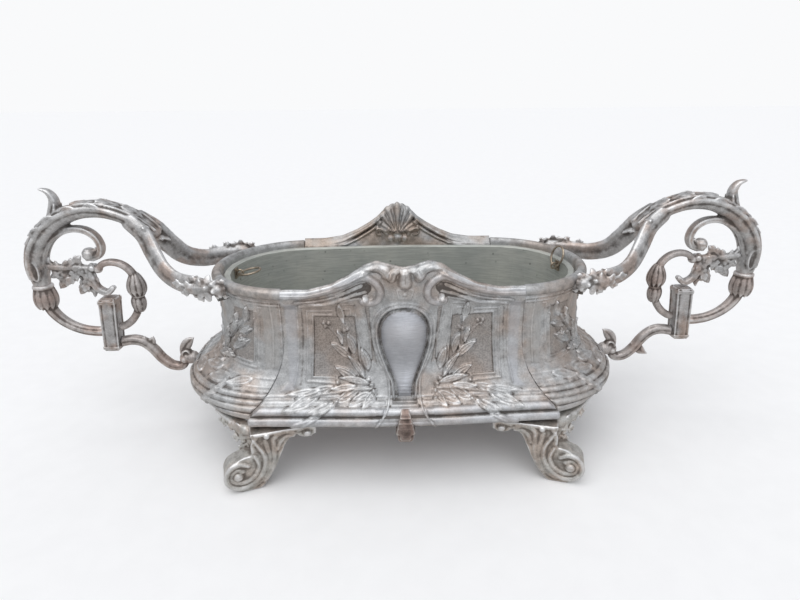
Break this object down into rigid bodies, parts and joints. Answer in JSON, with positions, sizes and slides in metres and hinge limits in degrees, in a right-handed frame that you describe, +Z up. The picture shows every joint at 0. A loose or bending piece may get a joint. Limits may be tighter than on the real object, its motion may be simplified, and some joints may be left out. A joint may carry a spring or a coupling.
{
  "type": "oval footed jardiniere",
  "caption": "Oval cast-metal jardiniere with flared body, scroll feet, forked scroll handles, relief laurel and a lift-out liner with ring pulls.",
  "frame": {"origin": "on the table, under the middle of the bowl", "axes": "+X along the long axis towards the right handle, +Y towards the back with the shell crest, +Z up; the front with the plain crest faces -Y"},
  "size_m": [0.4956, 0.174, 0.1713],
  "materials": {
    "silver_plate": "worn silver plate over a soft white-metal casting, bright on the edges, with pink-brown tarnish in the hollows",
    "tarnished_casting": "white-metal casting with little plate left, brown tarnish",
    "liner_zinc": "dull grey-green zinc sheet with dark water spots",
    "brass_wire": "dulled brass wire",
    "screw_steel": "plain steel screw"
  },
  "bodies": {
    "bowl": {"front_panel": "silver_plate", "back_panel": "silver_plate", "floor_plate": "tarnished_casting", "front_pendant": "tarnished_casting", "back_pendant": "tarnished_casting", "front_pendant_screw": "screw_steel", "back_pendant_screw": "screw_steel", "foot_front_left": "silver_plate", "foot_screw_front_left": "screw_steel", "foot_front_right": "silver_plate", "foot_screw_front_right": "screw_steel", "foot_back_left": "silver_plate", "foot_screw_back_left": "screw_steel", "foot_back_right": "silver_plate", "foot_screw_back_right": "screw_steel", "left_end_panel": "silver_plate", "left_handle_arm": "silver_plate", "left_outer_scroll": "silver_plate", "left_inner_scroll": "tarnished_casting", "left_leaf_spray": "silver_plate", "left_socket_block": "tarnished_casting", "left_lower_bracket": "tarnished_casting", "left_front_arm_screw": "screw_steel", "left_back_arm_screw": "screw_steel", "left_bracket_screw": "screw_steel", "right_end_panel": "silver_plate", "right_handle_arm": "silver_plate", "right_outer_scroll": "silver_plate", "right_inner_scroll": "tarnished_casting", "right_leaf_spray": "silver_plate", "right_socket_block": "tarnished_casting", "right_lower_bracket": "tarnished_casting", "right_front_arm_screw": "screw_steel", "right_back_arm_screw": "screw_steel", "right_bracket_screw": "screw_steel"},
    "liner": {"liner_wall": "liner_zinc", "liner_floor": "liner_zinc", "left_ring_eye": "liner_zinc", "right_ring_eye": "liner_zinc"},
    "left_ring": {"left_ring_pull": "brass_wire"},
    "right_ring": {"right_ring_pull": "brass_wire"}
  },
  "joints": [
    {"name": "liner_lift", "type": "slide", "parent": "bowl", "child": "liner", "axis": [0, 0, 1], "range_m": [0, 0.1]},
    {"name": "left_ring_hinge", "type": "hinge", "parent": "liner", "child": "left_ring", "pos_m": [-0.10877, 0.00439, 0.1112], "axis": [-0.1045, -0.9945, 0], "range_deg": [-100, 100]},
    {"name": "right_ring_hinge", "type": "hinge", "parent": "liner", "child": "right_ring", "pos_m": [0.10808, 0.00873, 0.1112], "axis": [-0.2079, 0.9781, 0], "range_deg": [-196, 4]}
  ]
}
